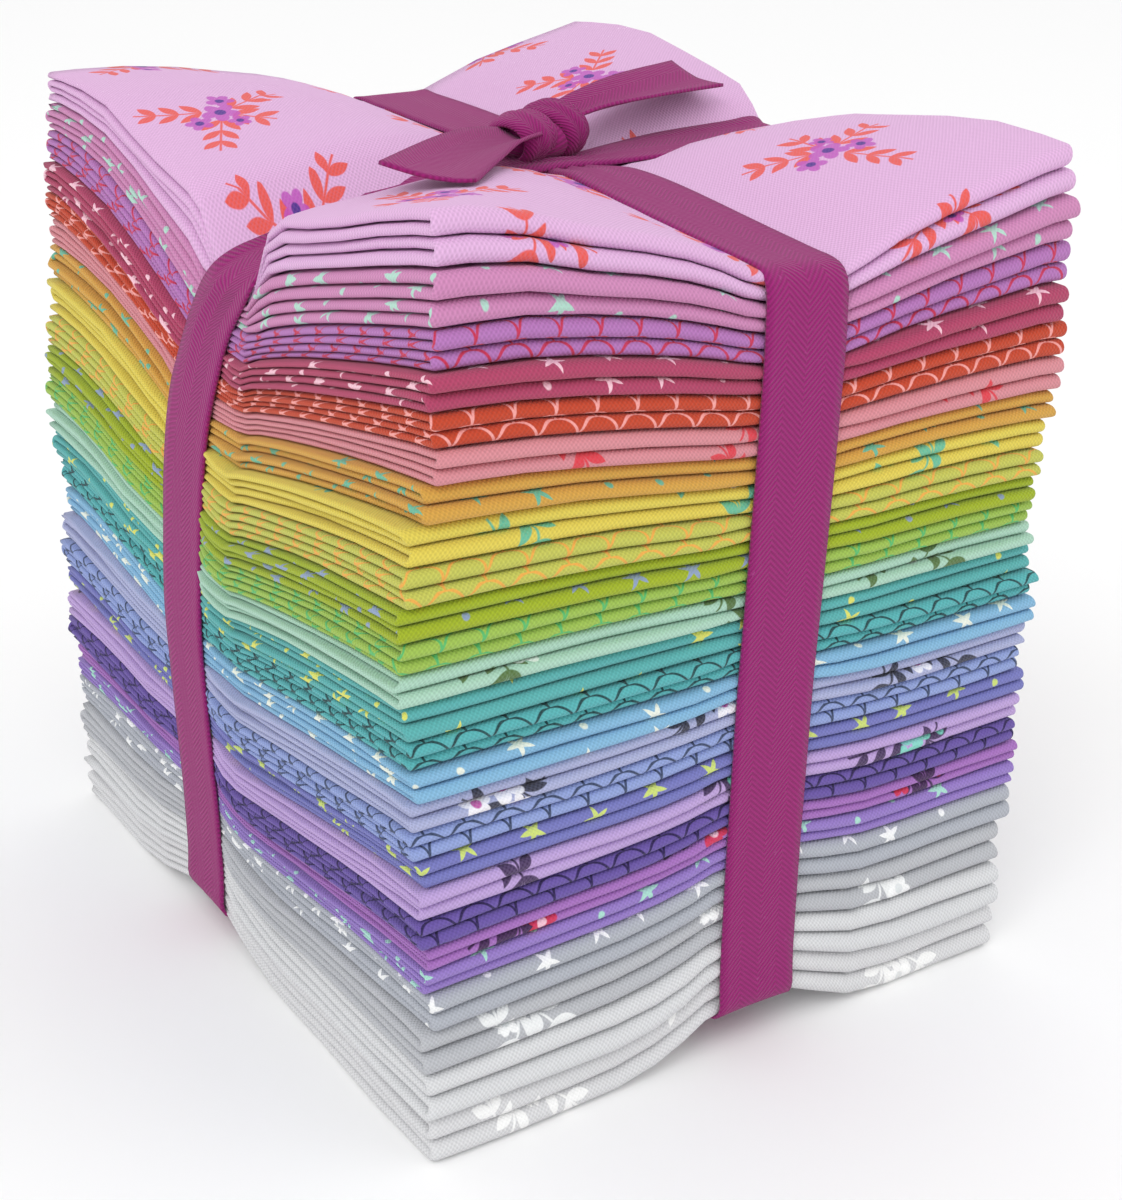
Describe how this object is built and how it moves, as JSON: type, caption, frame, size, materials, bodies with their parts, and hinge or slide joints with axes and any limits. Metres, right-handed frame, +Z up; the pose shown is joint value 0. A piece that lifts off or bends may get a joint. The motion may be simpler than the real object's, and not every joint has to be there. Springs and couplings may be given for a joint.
{
  "type": "fat quarter bundle",
  "caption": "Stack of folded printed cotton fat quarters in rainbow order, tied crosswise with a twill tape that is knotted on top.",
  "frame": {"origin": "centre of the bounding box on the resting surface, under the middle of the stack", "axes": "+Z up; +X across the folded strips, the narrower side; +Y along the passes, with the two fold rounds of each piece at -Y and its cut ends at +Y"},
  "size_m": [0.12, 0.1427, 0.1456],
  "materials": {
    "cotton_01": "pale pink plain-weave quilting cotton with a small all-over print",
    "cotton_02": "orchid pink plain-weave quilting cotton with a small all-over print",
    "cotton_03": "orchid violet plain-weave quilting cotton with a small all-over print",
    "cotton_04": "rose plain-weave quilting cotton with a small all-over print",
    "cotton_05": "orange red plain-weave quilting cotton with a small all-over print",
    "cotton_06": "salmon pink plain-weave quilting cotton with a small all-over print",
    "cotton_07": "gold plain-weave quilting cotton with a small all-over print",
    "cotton_08": "yellow plain-weave quilting cotton with a small all-over print",
    "cotton_09": "yellow green plain-weave quilting cotton with a small all-over print",
    "cotton_10": "lime plain-weave quilting cotton with a small all-over print",
    "cotton_11": "light lime plain-weave quilting cotton with a small all-over print",
    "cotton_12": "pale mint plain-weave quilting cotton with a small all-over print",
    "cotton_13": "teal plain-weave quilting cotton with a small all-over print",
    "cotton_14": "turquoise plain-weave quilting cotton with a small all-over print",
    "cotton_15": "sky blue plain-weave quilting cotton with a small all-over print",
    "cotton_16": "lavender blue plain-weave quilting cotton with a small all-over print",
    "cotton_17": "periwinkle plain-weave quilting cotton with a small all-over print",
    "cotton_18": "violet blue plain-weave quilting cotton with a small all-over print",
    "cotton_19": "lilac plain-weave quilting cotton with a small all-over print",
    "cotton_20": "purple plain-weave quilting cotton with a small all-over print",
    "cotton_21": "orchid plain-weave quilting cotton with a small all-over print",
    "cotton_22": "violet plain-weave quilting cotton with a small all-over print",
    "cotton_23": "light grey plain-weave quilting cotton with a small all-over print",
    "cotton_24": "grey plain-weave quilting cotton with a small all-over print",
    "cotton_25": "white plain-weave quilting cotton with a small all-over print",
    "cotton_26": "white plain-weave quilting cotton with a small all-over print",
    "tape": "magenta herringbone twill tape"
  },
  "bodies": {
    "root": {"fat_quarter_01": "cotton_01", "fat_quarter_02": "cotton_02", "fat_quarter_03": "cotton_03", "fat_quarter_04": "cotton_04", "fat_quarter_05": "cotton_05", "fat_quarter_06": "cotton_06", "fat_quarter_07": "cotton_07", "fat_quarter_08": "cotton_08", "fat_quarter_09": "cotton_09", "fat_quarter_10": "cotton_10", "fat_quarter_11": "cotton_11", "fat_quarter_12": "cotton_12", "fat_quarter_13": "cotton_13", "fat_quarter_14": "cotton_14", "fat_quarter_15": "cotton_15", "fat_quarter_16": "cotton_16", "fat_quarter_17": "cotton_17", "fat_quarter_18": "cotton_18", "fat_quarter_19": "cotton_19", "fat_quarter_20": "cotton_20", "fat_quarter_21": "cotton_21", "fat_quarter_22": "cotton_22", "fat_quarter_23": "cotton_23", "fat_quarter_24": "cotton_24", "fat_quarter_25": "cotton_25", "fat_quarter_26": "cotton_26", "tape": "tape"}
  },
  "joints": []
}
